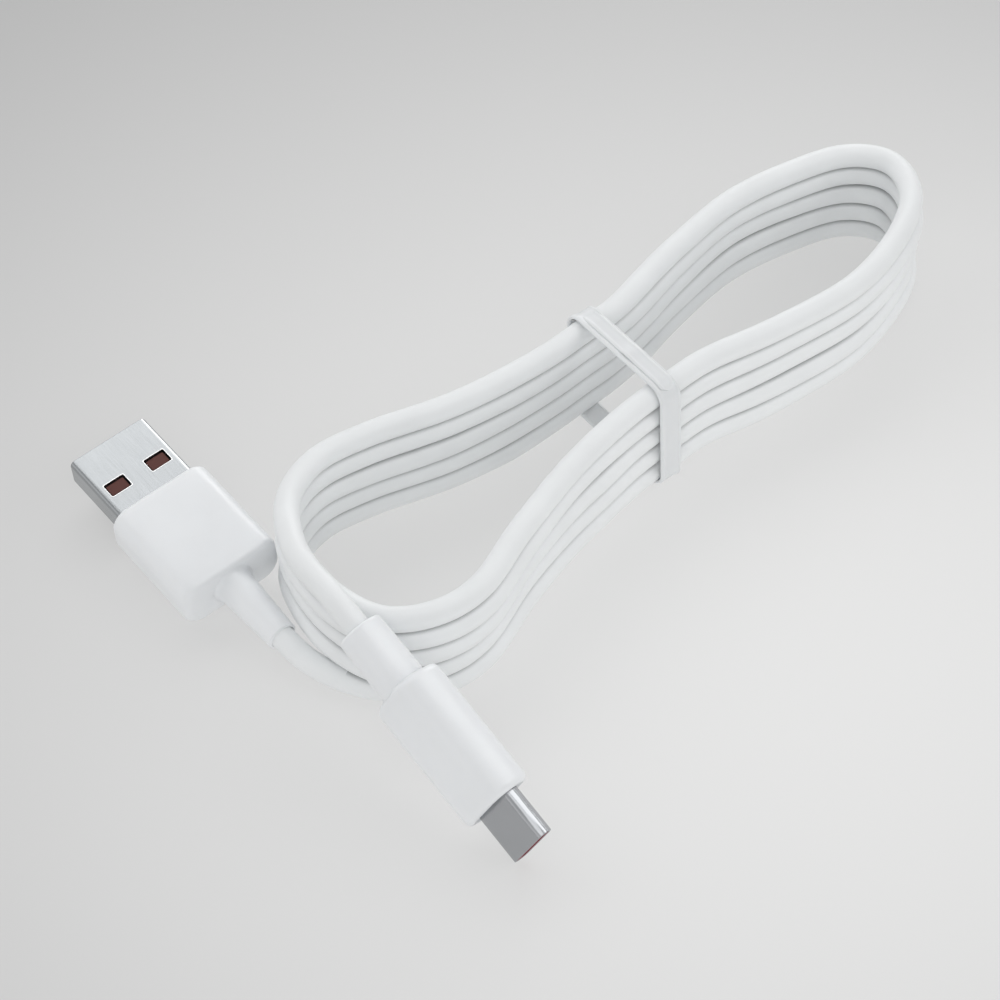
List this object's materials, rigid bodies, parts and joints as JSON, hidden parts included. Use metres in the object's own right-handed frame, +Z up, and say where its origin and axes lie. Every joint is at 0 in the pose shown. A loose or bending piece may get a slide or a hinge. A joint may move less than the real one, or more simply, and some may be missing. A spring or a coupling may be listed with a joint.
{
  "type": "charging cable",
  "caption": "USB-A to USB-C charging cable, its slim cord wound into an upright hank with a narrow waist, held by a flat strip tie, with the plugs lying beside one end.",
  "frame": {"origin": "centre of the tie's underside, on the surface the hank stands on", "axes": "+X along the hank away from the plugs, +Y towards the arm that the USB-A plug lies beyond, +Z up"},
  "size_m": [0.122, 0.0874, 0.021],
  "materials": {
    "cord_jacket": "satin white elastomer",
    "plug_plastic": "satin white moulded",
    "tie_strip": "milky white, ribbed strip",
    "plug_steel": "nickel-plated",
    "brown_insulator": "moulded",
    "red_insulator": "moulded",
    "gold_contact": "gold-plated",
    "inner_mould": "moulded",
    "circuit_board": "solder mask",
    "resistor_ceramic": "glazed",
    "copper_crimp": "rolled",
    "wire_red": "smooth",
    "wire_white": "smooth",
    "wire_green": "smooth",
    "wire_black": "smooth"
  },
  "bodies": {
    "hank": {"cord_hank": "cord_jacket", "cord_lead_usb_a": "cord_jacket", "cord_lead_usb_c": "cord_jacket"},
    "tie": {"cord_tie": "tie_strip"},
    "usb_a_plug": {"usb_a_shell": "plug_steel", "usb_a_insulator": "brown_insulator", "usb_a_contact_1": "gold_contact", "usb_a_contact_2": "gold_contact", "usb_a_contact_3": "gold_contact", "usb_a_contact_4": "gold_contact", "usb_a_inner_mould": "inner_mould", "usb_a_housing": "plug_plastic", "usb_a_strain_relief": "plug_plastic", "usb_a_cord_end": "cord_jacket", "usb_a_crimp_ferrule": "copper_crimp", "usb_a_wire_red": "wire_red", "usb_a_wire_white": "wire_white", "usb_a_wire_green": "wire_green", "usb_a_wire_black": "wire_black"},
    "usb_c_plug": {"usb_c_shell": "plug_steel", "usb_c_insulator": "red_insulator", "usb_c_contact_a1": "gold_contact", "usb_c_contact_a4": "gold_contact", "usb_c_contact_a5": "gold_contact", "usb_c_contact_a6": "gold_contact", "usb_c_contact_a7": "gold_contact", "usb_c_contact_a9": "gold_contact", "usb_c_contact_a12": "gold_contact", "usb_c_contact_b1": "gold_contact", "usb_c_contact_b4": "gold_contact", "usb_c_contact_b9": "gold_contact", "usb_c_contact_b12": "gold_contact", "usb_c_latch": "plug_steel", "usb_c_circuit_board": "circuit_board", "usb_c_pull_up_resistor": "resistor_ceramic", "usb_c_inner_mould": "inner_mould", "usb_c_housing": "plug_plastic", "usb_c_strain_relief": "plug_plastic", "usb_c_cord_end": "cord_jacket", "usb_c_crimp_ferrule": "copper_crimp", "usb_c_wire_red": "wire_red", "usb_c_wire_white": "wire_white", "usb_c_wire_green": "wire_green", "usb_c_wire_black": "wire_black"}
  },
  "joints": [
    {"name": "usb_a_plug_swing", "type": "hinge", "parent": "hank", "child": "usb_a_plug", "pos_m": [-0.05858, 0.00194, 0.00324], "axis": [0, 0, 1], "range_deg": [0, 25]},
    {"name": "usb_c_plug_swing", "type": "hinge", "parent": "hank", "child": "usb_c_plug", "pos_m": [-0.05857, -0.00929, 0.01829], "axis": [0, 0, 1], "range_deg": [-25, 0]},
    {"name": "tie_slide", "type": "slide", "parent": "hank", "child": "tie", "axis": [1, 0, 0], "range_m": [-0.002, 0.002]}
  ]
}
